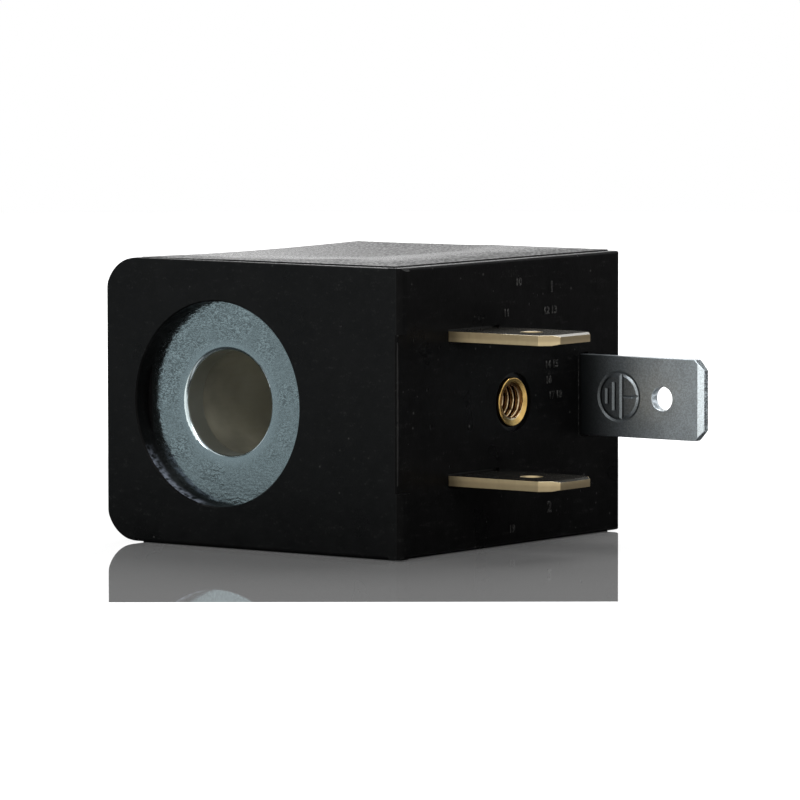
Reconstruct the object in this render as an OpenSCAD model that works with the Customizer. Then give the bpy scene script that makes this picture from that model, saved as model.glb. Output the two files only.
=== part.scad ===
// Encapsulated solenoid valve coil with a three-blade plug interface, in millimetres.
// The origin is on the bore axis at mid length. +Y runs along the bore to the rear face,
// +X points out of the connector face and +Z is up.

/* [Body] */
// Length of the body from its back to the connector face
body_length = 28.05; // [27:0.05:34]
// Depth of the body along the bore
body_depth = 29.4; // [27:0.1:40]
// Height of the body between its plain top and bottom
body_height = 22; // [20:0.1:30]
// Distance from the bore axis to the back of the body
bore_to_back = 10.85; // [10.2:0.05:12]
// Radius of the two long edges at the back
back_round = 3; // [1:0.1:4]
// Radius of the sharp moulded edges
edge_round = 0.25; // [0.1:0.05:0.6]
// Radius of the rear top and rear bottom edges
rear_round = 0.35; // [0.3:0.05:2]
// Moulded wall over the outside of each yoke plate
face_wall = 1.45; // [1:0.05:2.5]
// Moulded wall over the back of the yoke
back_wall = 1.15; // [0.7:0.05:1.4]
// Height of the raised panels on top and bottom
panel_raise = 0.1; // [0.05:0.05:0.5]
// Plain margin round the raised panels
panel_margin = 0.6; // [0.5:0.1:2]
// Depth of the sink in the top over the winding
sink_depth = 0.35; // [0.1:0.05:0.6]
// Reach of that sink from its middle
sink_reach = 17; // [12:0.5:18]
// Middle of that sink across the bore
sink_x = -6; // [-8:0.5:2]
// Middle of that sink along the bore
sink_y = 1.5; // [-4:0.5:4]
// Mouth diameter of the nut recess in the front and rear faces
recess_d = 15.8; // [14.4:0.1:16.4]
// Draw of the recess wall: how much its radius shrinks towards the floor
recess_draw = 0.05; // [0.05:0.05:0.6]
// Bevel at the mouth of each recess
recess_bevel = 0.1; // [0.05:0.05:0.3]

/* [Connector face] */
// Width of the two locating ribs
rib_width = 1; // [0.6:0.1:2]
// Height of the ribs above the connector face
rib_height = 0.5; // [0.3:0.1:1]
// Length of each rib from the top or bottom edge
rib_length = 5; // [3:0.1:6]
// Radius of the ribs' front edge
rib_round = 0.65; // [0.2:0.05:0.7]
// Depth of the pockets round the blades
pocket_depth = 0.3; // [0.2:0.1:1]
// Room round a blade inside its pocket
pocket_margin = 0.15; // [0.05:0.05:0.6]
// Diameter of the pocket round the threaded insert
insert_pocket_d = 4.6; // [4.2:0.1:6]

/* [Yoke] */
// Diameter of the bore through the yoke plates
bore_d = 8.1; // [7:0.1:9]
// Thickness of the yoke strip
yoke_thickness = 2; // [1.5:0.1:2.4]
// Width of the yoke strip
yoke_width = 17.6; // [16.5:0.1:19]
// Inside radius of the yoke bends
yoke_bend = 0.3; // [0.2:0.1:1]
// Reach of the yoke plates from the bore axis
plate_reach = 12.6; // [12:0.1:13.4]
// Rounded edge of the bore on the outside of each plate
bore_rim = 0.35; // [0.1:0.05:0.6]

/* [Bobbin and winding] */
// Radial step from the plate bore out to the bobbin bore
bobbin_step = 0.2; // [0.05:0.05:0.4]
// Wall of the bobbin tube
tube_wall = 0.7; // [0.5:0.1:1]
// Room between the bobbin flanges and the start of the yoke's bends
flange_gap = 0.1; // [0.05:0.05:0.5]
// Thickness of the flange that carries the terminals
terminal_flange = 2.2; // [1.8:0.1:3]
// Thickness of the plain flange
plain_flange = 0.9; // [0.6:0.1:2]
// Height of the flange rims above the winding
flange_lip = 0.3; // [0.2:0.05:0.6]
// Thickness of the tape over the winding
tape_thickness = 0.12; // [0.05:0.01:0.18]
// Reach of the terminal lugs from the bore axis
lug_reach = 11.4; // [10.5:0.1:12]
// Width of each terminal lug
lug_width = 3; // [2.4:0.1:4]
// Diameter of the winding wire
wire_d = 0.4; // [0.2:0.05:0.5]
// Diameter of the solder on each terminal tag
solder_d = 2; // [1.9:0.1:2.4]

/* [Power terminals] */
// Width of every blade
blade_width = 6.3; // [4.8:0.1:6.3]
// Thickness of every blade
blade_thickness = 0.8; // [0.5:0.1:1]
// Distance between the two power blades
blade_spacing = 11; // [9.4:0.1:12]
// Centre of the power blades along the bore
blade_y = -4.85; // [-6:0.05:-3.8]
// Length of the power blades outside the body
blade_length = 9.45; // [8:0.05:12]
// Corner cut at the blade tips
blade_corner = 1.2; // [0.5:0.1:1.5]
// Diameter of the hole in the power blades
blade_hole_d = 1.7; // [1:0.1:2]
// Distance of that hole from the blade tip
blade_hole_in = 4.05; // [3:0.05:5]
// Length of the thin bevel at the power blade tips
blade_bevel = 0.5; // [0.2:0.1:1]
// Depth of the thin bevel at the power blade tips
blade_bevel_depth = 0.12; // [0.05:0.01:0.2]
// Width of the legs pressed into the bobbin
leg_width = 1.4; // [1:0.1:1.6]
// Depth of those legs in their lugs
leg_depth = 3; // [2:0.1:4]

/* [Earth terminal] */
// Front face of the earth blade along the bore
earth_y = 9.45; // [8.5:0.05:10.4]
// Length of the earth blade outside the body
earth_length = 11.45; // [10:0.05:14]
// Diameter of the hole in the earth blade
earth_hole_d = 1.9; // [1:0.1:2.5]
// Distance of that hole from the blade tip
earth_hole_in = 3.85; // [3.3:0.05:5.5]
// Length of the bevel at the earth blade tip
earth_bevel = 0.55; // [0.3:0.05:1.5]
// Depth of that bevel on each side of the blade
earth_bevel_depth = 0.13; // [0.1:0.01:0.24]
// Corner cut at the earth blade tip
earth_corner = 0.8; // [0.5:0.1:1.5]
// Length of the pad that lies on the yoke plate
pad_length = 4; // [3.8:0.1:4.2]
// Length of the offset between pad and blade
offset_length = 1.4; // [1:0.1:2]
// Diameter of the rivet shank
rivet_d = 2; // [1.6:0.1:2.2]
// Diameter of the rivet head
rivet_head_d = 3.2; // [2.8:0.1:3.4]
// Height of the rivet head and of its closed end
rivet_head = 0.5; // [0.3:0.05:0.8]

/* [Threaded insert] */
// Place of the insert along the bore
insert_y = 0.35; // [-0.3:0.05:0.8]
// Outside diameter of the insert's mouth
insert_d = 3.9; // [3.6:0.1:4.1]
// Outside diameter of its gripping bands
insert_band_d = 4.4; // [4.2:0.1:5]
// Length of the insert
insert_length = 7.6; // [6.5:0.1:8.5]
// Inside diameter of the thread
thread_d = 2.5; // [2.05:0.05:2.6]
// Depth of the hole
thread_depth = 6.6; // [4:0.1:6.6]
// Depth of the countersunk mouth
insert_mouth = 0.3; // [0.2:0.05:0.5]

/* [Hidden] */
$fn = 72;

// Overshoot of a cutting shape past the face it opens
cut = 1;
// Depth to which an added form is rooted in the body
root = 0.8;
// Radial room of the rivet in its holes
rivet_gap = 0.05;
// Depth of the grooves in the insert below its mouth collar
neck_depth = 0.3;

connector_x = body_length - bore_to_back;
half_depth = body_depth / 2;
half_height = body_height / 2;

// Yoke faces, measured from the bore axis and from mid length
plate_out = half_depth - face_wall;
plate_in = plate_out - yoke_thickness;
web_out = bore_to_back - back_wall;
web_in = web_out - yoke_thickness;
bore_r = bore_d / 2;

// Bobbin and winding radii and ends
bobbin_r = bore_r + bobbin_step;
tube_r = bobbin_r + tube_wall;
flange_r = web_in - yoke_bend - flange_gap;
winding_r = flange_r - flange_lip;
wind_front = -plate_in + terminal_flange;
wind_rear = plate_in - plain_flange;

// Power terminals: blade edges, the arm behind the connector face, and the solder tag on it
// with its room behind the terminal flange
blade_z = blade_spacing / 2;
blade_front = blade_y - blade_width / 2;
blade_rear = blade_y + blade_width / 2;
blade_tip = connector_x + blade_length;
leg_y = (wind_front - plate_in) / 2;
leg_x = lug_reach - leg_depth;
arm_gap = 0.8;
arm_width = 2;
arm_x = lug_reach + arm_gap;
tag_length = 1.4;
tag_width = 1;
solder_gap = 0.6;
tag_y = wind_front + solder_gap + solder_d / 2;
tag_x = arm_x - tag_length;

// Earth terminal
earth_tip = connector_x + earth_length;
earth_back = earth_y + blade_thickness;
pad_front = plate_in - blade_thickness;
pad_x = plate_reach - pad_length;
rivet_x = plate_reach - pad_length / 2;

// Winding wire: one end leaves the winding through the terminal flange, the other through the tape
wire_r = wire_d / 2;
tape_r = winding_r + tape_thickness;
solder_length = 1.2;
solder_cap = 0.2;
solder_x = tag_x - solder_cap + solder_length / 2;
solder_drop = blade_thickness / 2 + 1.25 * wire_r;
lead_angle = 28;
lead_out = [cos(lead_angle), 0, sin(lead_angle)];
lead_bend = (flange_r - 2 * wire_d) * lead_out;
start_route = [
    (tube_r + 2 * wire_d) * lead_out + [0, wind_front + wire_d, 0],
    lead_bend + [0, wind_front - 1.5 * wire_d, 0],
    [solder_x, tag_y, blade_z - solder_drop]
];
finish_route = [
    [lead_bend.x, tag_y + tag_width, -lead_bend.z],
    [solder_x, tag_y, solder_drop - blade_z]
];

// Flat rectangle with its own radius at each corner, listed anticlockwise from the lower left
module round_rect(low, high, radii) {
    corners = [low, [high.x, low.y], high, [low.x, high.y]];
    inward = [[1, 1], [-1, 1], [-1, -1], [1, -1]];
    polygon([
        [low.x + radii[0], low.y], [high.x - radii[1], low.y],
        [high.x, low.y + radii[1]], [high.x, high.y - radii[2]],
        [high.x - radii[2], high.y], [low.x + radii[3], high.y],
        [low.x, high.y - radii[3]], [low.x, low.y + radii[0]]
    ]);
    for (i = [0 : 3])
        if (radii[i] > 0)
            translate(corners[i] + inward[i] * radii[i]) circle(r = radii[i]);
}

// Round bar on the bore axis
module bar(r, from, to) {
    translate([0, from, 0]) rotate([-90, 0, 0]) cylinder(r = r, h = to - from);
}

// Round bar along the bore's direction through a point beside it
module cross_bar(x, r, from, to) {
    translate([x, 0, 0]) bar(r, from, to);
}

// Box between two corners
module block(low, high) {
    translate(low) cube(high - low);
}

// Round hole of a given depth with a rounded edge at its mouth
module mouth_hole(r, round, depth) {
    rotate_extrude() difference() {
        union() {
            translate([0, -cut]) square([r, depth + cut]);
            translate([0, -cut]) square([r + round, round + cut]);
        }
        translate([r + round, round]) circle(r = round);
    }
}

// Flat X-Z outline drawn along the bore
module along_bore(from, to) {
    translate([0, to, 0]) rotate([90, 0, 0]) linear_extrude(height = to - from) children();
}

// Flat X-Y outline drawn upwards
module upwards(from, to) {
    translate([0, 0, from]) linear_extrude(height = to - from) children();
}

// Straight length of wire between two points, run on a little to fill the bend at its end
module wire_run(a, b, run_on) {
    v = b - a;
    translate(a)
        rotate([0, acos(v.z / norm(v)), atan2(v.y, v.x)])
            cylinder(r = wire_r, h = norm(v) + run_on);
}

module wire(route) {
    last = len(route) - 1;
    for (i = [1 : last]) wire_run(route[i - 1], route[i], i < last ? wire_r : 0);
}

// Last length of a wire, soldered to its tag
module wire_end(route) {
    last = len(route) - 1;
    wire_run(route[last - 1], route[last], 0);
}

// Outside of the moulding, rounded along all three directions
module body_form() {
    low = [-bore_to_back, -half_depth, -half_height];
    high = [connector_x, half_depth, half_height];
    intersection() {
        along_bore(low.y, high.y)
            round_rect(
                [low.x, low.z], [high.x, high.z],
                [back_round, edge_round, edge_round, back_round]
            );
        translate([low.x, 0, 0]) rotate([90, 0, 90]) linear_extrude(height = body_length)
            round_rect(
                [low.y, low.z], [high.y, high.z],
                [edge_round, rear_round, rear_round, edge_round]
            );
        upwards(low.z, high.z)
            round_rect([low.x, low.y], [high.x, high.y], edge_round * [1, 1, 1, 1]);
    }
}

// Panels that stand a little proud of the top and the bottom
module side_panels() {
    upwards(-half_height - panel_raise, half_height + panel_raise)
        round_rect(
            [-bore_to_back + back_round, -half_depth + panel_margin],
            [connector_x - panel_margin, half_depth - panel_margin],
            edge_round * [1, 1, 1, 1]
        );
}

// Rib along the front edge of the connector face, sloping down at its inner end
module rib() {
    foot = connector_x - root;
    top = connector_x + rib_height;
    inner = half_height - rib_length;
    intersection() {
        upwards(inner, half_height)
            round_rect(
                [foot, -half_depth], [top, -half_depth + rib_width], [0, rib_round, 0, 0]
            );
        along_bore(-half_depth, -half_depth + rib_width)
            polygon([
                [foot, inner], [top, inner], [top, half_height - edge_round],
                [top - edge_round, half_height], [foot, half_height]
            ]);
    }
}

// Nut recess in the front face, narrowing towards the yoke plate at its floor
module recess() {
    mouth = recess_d / 2;
    edge = mouth + recess_bevel;
    translate([0, -half_depth, 0]) rotate([-90, 0, 0]) rotate_extrude()
        polygon([
            [0, -cut], [edge, -cut], [edge, 0], [mouth, recess_bevel],
            [mouth - recess_draw, face_wall], [0, face_wall]
        ]);
}

// Shallow lens that scoops the sink out of the top
module sink() {
    ball = (pow(sink_reach, 2) + pow(sink_depth, 2)) / (2 * sink_depth);
    translate([sink_x, sink_y, half_height + panel_raise - sink_depth]) rotate_extrude()
        intersection() {
            translate([0, ball]) circle(r = ball, $fn = 1440);
            square([2 * sink_reach, sink_depth + cut]);
        }
}

// Shallow pocket in the connector face round a blade that fills a rectangle of Y and Z
module blade_pocket(low, high) {
    margin = pocket_margin * [1, 1];
    from = low - margin;
    to = high + margin;
    block([connector_x - pocket_depth, from.x, from.y], [connector_x + cut, to.x, to.y]);
}

module pockets() {
    half = blade_thickness / 2;
    for (z = [-blade_z, blade_z])
        blade_pocket([blade_front, z - half], [blade_rear, z + half]);
    blade_pocket([earth_y, -blade_width / 2], [earth_back, blade_width / 2]);
    translate([connector_x - pocket_depth, insert_y, 0]) rotate([0, 90, 0])
        cylinder(d = insert_pocket_d, h = pocket_depth + cut);
}

// Space of the wound bobbin and its lugs
module bobbin_space() {
    bar(flange_r, -plate_in, plate_in);
    lugs();
}

module lugs() {
    for (z = [-blade_z, blade_z])
        block([0, -plate_in, z - lug_width / 2], [lug_reach, wind_front, z + lug_width / 2]);
}

// Everything that the moulding is cast round
module embedded_pieces() {
    yoke_blank();
    bobbin_space();
    for (side = [-1, 1]) power_blank(side);
    earth_blank();
    rivet_form();
    insert_blank();
    wire_end(start_route);
    wire_end(finish_route);
    solder_sleeves();
}

module housing() {
    color("#1d1d1e") difference() {
        union() {
            body_form();
            side_panels();
            rib();
            mirror([0, 0, 1]) rib();
        }
        recess();
        mirror([0, 1, 0]) recess();
        sink();
        pockets();
        embedded_pieces();
    }
}

// Bent strip: two plates across the bore joined by a web at the back
module yoke_blank() {
    bend_out = yoke_bend + yoke_thickness;
    upwards(-yoke_width / 2, yoke_width / 2) difference() {
        round_rect([-web_out, -plate_out], [plate_reach, plate_out], [bend_out, 0, 0, bend_out]);
        round_rect([-web_in, -plate_in], [plate_reach + cut, plate_in], [yoke_bend, 0, 0, yoke_bend]);
    }
}

// Half of the bore, from mid length out through the front plate
module bore_half() {
    translate([0, -plate_out, 0]) rotate([-90, 0, 0]) mouth_hole(bore_r, bore_rim, plate_out);
}

module yoke() {
    color("#8f989c") difference() {
        yoke_blank();
        bore_half();
        mirror([0, 1, 0]) bore_half();
        cross_bar(rivet_x, rivet_d / 2 + rivet_gap, plate_in - cut, plate_out + cut);
    }
}

module bobbin() {
    color("#6b6455") difference() {
        union() {
            bar(tube_r, -plate_in, plate_in);
            bar(flange_r, -plate_in, wind_front);
            bar(flange_r, wind_rear, plate_in);
            lugs();
        }
        bar(bobbin_r, -half_depth, half_depth);
        for (side = [-1, 1]) power_blank(side);
        wire(start_route);
    }
}

module winding() {
    color("#b06a3a") difference() {
        bar(winding_r, wind_front, wind_rear);
        bar(tube_r, wind_front - cut, wind_rear + cut);
    }
}

module winding_tape() {
    color("#d9cfa0") difference() {
        bar(tape_r, wind_front, wind_rear);
        bar(winding_r, wind_front - cut, wind_rear + cut);
    }
}

// Stamped outline of a power terminal: blade, arm behind the face, solder tag and pressed leg
module power_outline() {
    polygon([
        [leg_x, leg_y - leg_width / 2],
        [arm_x + arm_width, leg_y - leg_width / 2],
        [arm_x + arm_width, blade_front],
        [blade_tip - blade_corner, blade_front],
        [blade_tip, blade_front + blade_corner],
        [blade_tip, blade_rear - blade_corner],
        [blade_tip - blade_corner, blade_rear],
        [arm_x, blade_rear],
        [arm_x, tag_y + tag_width / 2],
        [tag_x, tag_y + tag_width / 2],
        [tag_x, tag_y - tag_width / 2],
        [arm_x, tag_y - tag_width / 2],
        [arm_x, leg_y + leg_width / 2],
        [leg_x, leg_y + leg_width / 2]
    ]);
}

module power_blank(side) {
    z = side * blade_z;
    upwards(z - blade_thickness / 2, z + blade_thickness / 2) power_outline();
}

// Wedge that bevels one face of a power blade at its tip
module tip_wedge() {
    half = blade_thickness / 2;
    along_bore(blade_front - cut, blade_rear + cut)
        polygon([
            [blade_tip - blade_bevel, half],
            [blade_tip, half - blade_bevel_depth],
            [blade_tip + cut, half - blade_bevel_depth],
            [blade_tip + cut, half + cut],
            [blade_tip - blade_bevel, half + cut]
        ]);
}

module power_terminal(side) {
    color("#b9ab8c") difference() {
        power_blank(side);
        translate([0, 0, side * blade_z]) {
            tip_wedge();
            mirror([0, 0, 1]) tip_wedge();
            translate([blade_tip - blade_hole_in, blade_y, -blade_thickness])
                cylinder(d = blade_hole_d, h = 2 * blade_thickness);
        }
    }
}

module power_terminal_1() {
    power_terminal(1);
}

module power_terminal_2() {
    power_terminal(-1);
}

// Edge view of the earth terminal: pad on the yoke plate, offset, blade and bevelled tip
module earth_outline() {
    offset_x = plate_reach + offset_length;
    polygon([
        [pad_x, pad_front],
        [plate_reach, pad_front],
        [offset_x, earth_y],
        [earth_tip - earth_bevel, earth_y],
        [earth_tip, earth_y + earth_bevel_depth],
        [earth_tip, earth_back - earth_bevel_depth],
        [earth_tip - earth_bevel, earth_back],
        [offset_x, earth_back],
        [plate_reach, plate_in],
        [pad_x, plate_in]
    ]);
}

module earth_blank() {
    upwards(-blade_width / 2, blade_width / 2) earth_outline();
}

// Corner cut at the upper corner of the earth blade's tip
module tip_corner() {
    half = blade_width / 2;
    along_bore(earth_y - cut, earth_back + cut)
        polygon([
            [earth_tip - earth_corner - cut, half + cut],
            [earth_tip + cut, half - earth_corner - cut],
            [earth_tip + cut, half + cut]
        ]);
}

module earth_terminal() {
    color("#7d868b") difference() {
        earth_blank();
        tip_corner();
        mirror([0, 0, 1]) tip_corner();
        cross_bar(earth_tip - earth_hole_in, earth_hole_d / 2, earth_y - cut, earth_back + cut);
        cross_bar(rivet_x, rivet_d / 2 + rivet_gap, pad_front - cut, plate_in + cut);
    }
}

module rivet_form() {
    cross_bar(rivet_x, rivet_d / 2, pad_front - rivet_head, plate_out + rivet_head);
    cross_bar(rivet_x, rivet_head_d / 2, pad_front - rivet_head, pad_front);
    cross_bar(rivet_x, rivet_head_d / 2, plate_out, plate_out + rivet_head);
}

module earth_rivet() {
    color("#9aa1a4") rivet_form();
}

// Outline of the insert from its mouth inwards: mouth collar, two gripping bands and tail
module insert_outside() {
    neck = insert_d / 2 - neck_depth;
    band = insert_band_d / 2;
    step = insert_length / 7;
    polygon([
        [0, 0], [insert_d / 2, 0], [insert_d / 2, step], [neck, step], [neck, 1.5 * step],
        [band, 1.5 * step], [band, 3.25 * step], [neck, 3.25 * step], [neck, 4 * step],
        [band, 4 * step], [band, 5.75 * step], [neck, 5.75 * step], [neck, insert_length],
        [0, insert_length]
    ]);
}

// Tapped hole with a countersunk mouth and the drill's cone at its end
module insert_hole() {
    r = thread_d / 2;
    polygon([
        [0, -cut], [r + insert_mouth + cut, -cut], [r, insert_mouth],
        [r, thread_depth], [0, thread_depth + r / 2]
    ]);
}

module on_insert_axis() {
    translate([connector_x, insert_y, 0]) rotate([0, -90, 0]) rotate_extrude() children();
}

module insert_blank() {
    on_insert_axis() insert_outside();
}

module threaded_insert() {
    color("#c8a14a") difference() {
        insert_blank();
        on_insert_axis() insert_hole();
    }
}

module start_lead() {
    color("#b5713f") difference() {
        wire(start_route);
        bar(winding_r, wind_front, wind_rear);
    }
}

module finish_lead() {
    color("#b5713f") difference() {
        wire(finish_route);
        bar(tape_r, wind_front, wind_rear);
    }
}

// Solder that wraps the end of each tag
module solder_sleeves() {
    for (z = [-blade_z, blade_z])
        translate([tag_x - solder_cap, tag_y, z]) rotate([0, 90, 0])
            cylinder(d = solder_d, h = solder_length);
}

module solder_joints() {
    color("#c3c6c8") difference() {
        solder_sleeves();
        for (side = [-1, 1]) power_blank(side);
        wire_end(start_route);
        wire_end(finish_route);
    }
}

housing();
yoke();
bobbin();
winding();
winding_tape();
power_terminal_1();
power_terminal_2();
earth_terminal();
earth_rivet();
threaded_insert();
start_lead();
finish_lead();
solder_joints();
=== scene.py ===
"""Finish of an encapsulated solenoid valve coil: a black moulding round a zinc-plated yoke,
with tinned blades, a stamped earth blade and a brass screw insert."""

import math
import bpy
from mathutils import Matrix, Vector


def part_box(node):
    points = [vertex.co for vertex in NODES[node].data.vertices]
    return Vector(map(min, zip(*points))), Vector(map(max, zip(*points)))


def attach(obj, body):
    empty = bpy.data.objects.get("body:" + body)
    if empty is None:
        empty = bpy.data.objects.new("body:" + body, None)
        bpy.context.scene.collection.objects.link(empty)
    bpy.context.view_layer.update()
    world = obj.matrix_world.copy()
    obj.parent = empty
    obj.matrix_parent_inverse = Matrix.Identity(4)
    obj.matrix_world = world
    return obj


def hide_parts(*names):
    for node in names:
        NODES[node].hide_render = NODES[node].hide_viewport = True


bl_info = {
    "name": "Solenoid Valve Coil",
    "version": (1, 0, 0),
    "blender": (4, 5, 0),
    "location": "3D View > Sidebar > Coil",
    "description": "Dresses the coil's solids with their finishes and sets them on a studio stage",
    "category": "Object",
}

import bmesh
import bpy
from bpy.props import FloatProperty, FloatVectorProperty, IntProperty, PointerProperty
from mathutils import Matrix, Vector, noise

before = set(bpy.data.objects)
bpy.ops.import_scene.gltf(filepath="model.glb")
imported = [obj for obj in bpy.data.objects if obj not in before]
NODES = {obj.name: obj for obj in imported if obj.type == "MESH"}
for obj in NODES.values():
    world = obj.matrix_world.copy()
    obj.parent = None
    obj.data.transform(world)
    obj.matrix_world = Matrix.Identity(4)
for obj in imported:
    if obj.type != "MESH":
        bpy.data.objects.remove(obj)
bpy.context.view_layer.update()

MM = 0.001
HAIR = 0.01 * MM
BODY = "root"
BLACK = (0, 0, 0, 1)
WHITE = (1, 1, 1, 1)

# Faces of the solids: the ribs stand proud of the connector face, so the insert's mouth gives its place
HOUSING_LOW, HOUSING_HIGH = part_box("housing")
INSERT_LOW, INSERT_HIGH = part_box("threaded_insert")
EARTH_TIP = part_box("earth_terminal")[1].x
YOKE_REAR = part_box("yoke")[1].y
CONNECTOR_X = INSERT_HIGH.x
FRONT_Y = HOUSING_LOW.y
FLOOR_Z = HOUSING_LOW.z

# Reach of the recess walls from the bore's axis, and how deep the raised panels' top faces may lie
RECESS_REACH = 8.2 * MM
PANEL_STEP = 0.5 * MM

# Places that the finishes follow and sizes of the moulding's texture, in millimetres
FACE_X = CONNECTOR_X / MM
BORE_RADIUS = 4.05
SINK_RIGHT, SINK_FRONT = 8.5, -5.5
CLOUD, MOTTLE, FINE = 5.0, 0.9, 0.16
WIRE_TURN = 0.4
PANEL_GRAIN = math.radians(36.5)

# Plain moulded numbers: text, millimetres along and up the connector face, share of the full height
SMALL = 0.65
NUMBERS = (
    ("1", 5.4, 8.6, 1.0), ("2", 5.1, -8.5, 1.0), ("10", 1.0, 9.2, SMALL), ("11", -0.6, 6.9, SMALL),
    ("12 13", 5.2, 6.8, SMALL), ("14 15", 5.4, 2.6, SMALL), ("16", 5.0, 1.4, SMALL),
    ("17 18", 5.9, 0.2, SMALL), ("19", 0.1, -9.8, SMALL),
)

# The earth sign in millimetres: offset and length of its bars, then the points of its bent stem
SIGN_BARS = ((-1.11, 1.2), (-0.45, 2.2), (0.26, 3.6))
STEM_POINTS = (0.26, 1.2)
STEM_LEAN = 0.12
STEM_SHARE = 0.6

# Soft boxes: name, place and size in metres; each has its power in the studio setting of that name
LAMPS = (
    ("key", (-0.10, 0.30, 0.42), (0.5, 0.34)),
    ("side", (0.34, 0.26, 0.22), (0.2, 0.2)),
    ("front", (0.036, -0.408, 0.287), (0.3, 0.25)),
    ("right", (0.293, -0.246, 0.321), (0.3, 0.3)),
)

# Cards round the coil: name, first and last azimuth in degrees, height in metres, colour, and the
# height of the low strip where a card is open above it
CARDS = (
    ("left_card", -128, -66, 0.30, (0.03, 0.03, 0.03), 0.028),
    ("front_left_card", -66, -11, 0.30, (0.30, 0.345, 0.357), 0.0),
    ("front_strip", -11, 18, 0.13, (1.6, 1.57, 1.5), 0.0),
    ("front_right_card", 18, 66, 0.15, (1.1, 1.1, 1.06), 0.0),
    ("right_gap_card", 66, 92, 0.15, (0.025, 0.025, 0.025), 0.02),
    ("right_card", 92, 122, 0.15, (0.6, 0.6, 0.6), 0.02),
    ("rear_right_card", 122, 188, 0.30, (0.02, 0.02, 0.02), 0.028),
)
CARD_RADIUS = 0.2
CARD_OPEN_TO = 0.085
FLOOR_RADIUS = 0.5

# The floor's mirror image: the side on which it ends, how many millimetres out, where it fades round the
# coil and its share; then where the floor that the coil mirrors gets dim, and how dim
SHEEN_SIDE = (0.59478, -0.80389, 0)
SHEEN_END = 49.6
SHEEN_FULL, SHEEN_GONE = 52.0, 62.0
SHEEN_SHARE = 0.88
DIM_FROM, DIM_TO = 50.0, 15.0
DIM_LEVEL = 0.15


def colour_property(name, description, default):
    """A linear colour that a user may change."""
    return FloatVectorProperty(
        name=name, description=description, default=default, subtype="COLOR", size=3, min=0.0, max=1.0
    )


def length_property(name, description, default_mm):
    """A length that a user may change, given in millimetres."""
    return FloatProperty(
        name=name, description=description, default=default_mm * MM, unit="LENGTH", precision=5
    )


def angle_property(name, description, degrees):
    """An angle that a user may change, given in degrees."""
    return FloatProperty(
        name=name, description=description, default=math.radians(degrees), unit="ROTATION"
    )


class CoilColours(bpy.types.PropertyGroup):
    """Colours of the coil's finishes."""

    moulding: colour_property("Moulding", "Black of the moulded housing", (0.0026, 0.0026, 0.0027))
    dust: colour_property("Dust", "Fine dust and scuffs on the moulding", (0.11, 0.11, 0.105))
    # Painted glint: pale streaks low on one side of the recesses
    frost_and_glint: colour_property("Frost", "Torn resin low in the recesses", (0.15, 0.165, 0.2))
    zinc: colour_property("Zinc", "Plating of the yoke", (0.43, 0.50, 0.52))
    # Paler zinc round the bore: a painted sheen for the light that the dished rim of the punched hole
    # reflects
    bore_sheen_zinc: colour_property("Pale zinc", "Smoother plating round the bore", (0.62, 0.72, 0.76))
    bore_steel: colour_property("Bore steel", "Punched wall of the bore", (0.40, 0.415, 0.38))
    earth_zinc: colour_property("Earth zinc", "Plating of the earth blade", (0.54, 0.60, 0.64))
    tin: colour_property("Tin", "Plating on the flat sides of the power blades", (0.30, 0.285, 0.25))
    cut_brass: colour_property("Cut brass", "Sheared edges of the power blades", (0.43, 0.345, 0.205))
    cut_brown: colour_property("Cut brown", "Tarnish on the sheared edges", (0.19, 0.145, 0.08))
    brass: colour_property("Brass", "Turned brass of the insert", (0.64, 0.42, 0.145))
    # Painted highlight: pale brass on the thread's crests
    thread_crest_highlight: colour_property("Worn brass", "Thread crests rubbed pale by the screw", (0.95, 0.8, 0.6))
    # Painted shade in the roots of the thread, in a dark brown
    thread_root_shade: colour_property("Thread oil", "Dark oil in the roots of the thread", (0.22, 0.09, 0.022))
    bobbin: colour_property("Bobbin", "Resin of the bobbin", (0.20, 0.193, 0.145))
    copper: colour_property("Copper", "Enamelled winding wire", (0.55, 0.22, 0.09))
    tape: colour_property("Tape", "Film wrapped over the winding", (0.55, 0.43, 0.12))
    solder: colour_property("Solder", "Solder on the terminal tags", (0.55, 0.56, 0.57))


class CoilSizes(bpy.types.PropertyGroup):
    """Sizes of the details that the solids leave to the finish."""

    thread_pitch: length_property("Thread pitch", "Pitch of the insert's screw thread", 0.5)
    thread_minor: length_property("Thread inside radius", "Crest of the insert's thread", 1.25)
    thread_major: length_property("Thread outside radius", "Root of the insert's thread", 1.5)
    insert_rim: length_property("Insert rim radius", "Outside of the insert's mouth collar", 1.88)
    insert_lip: length_property("Insert lip", "Rounding of the collar's outer edge", 0.08)
    insert_mouth: length_property("Insert mouth", "Depth of the countersunk mouth", 0.2)
    sign_radius: length_property("Sign radius", "Middle of the earth sign's ring", 1.82)
    sign_line: length_property("Sign line", "Width of the stamped lines", 0.4)
    sign_depth: length_property("Sign depth", "Depth of the stamped lines", 0.085)
    sign_from_face: length_property("Sign place", "Sign centre from the connector face", 3.55)
    blade_edge: length_property("Blade edge", "Rounding of the stamped blades' edges", 0.05)
    flash_height: length_property("Flash height", "Height of the flash on the near edge", 0.12)
    slot_gap: length_property("Slot gap", "Gap from the flash to the earth blade", 0.45)
    numeral_height: length_property("Numeral height", "Height of the moulded numerals", 1.2)
    numeral_relief: length_property("Numeral relief", "Relief of the moulded numerals", 0.055)


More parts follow.
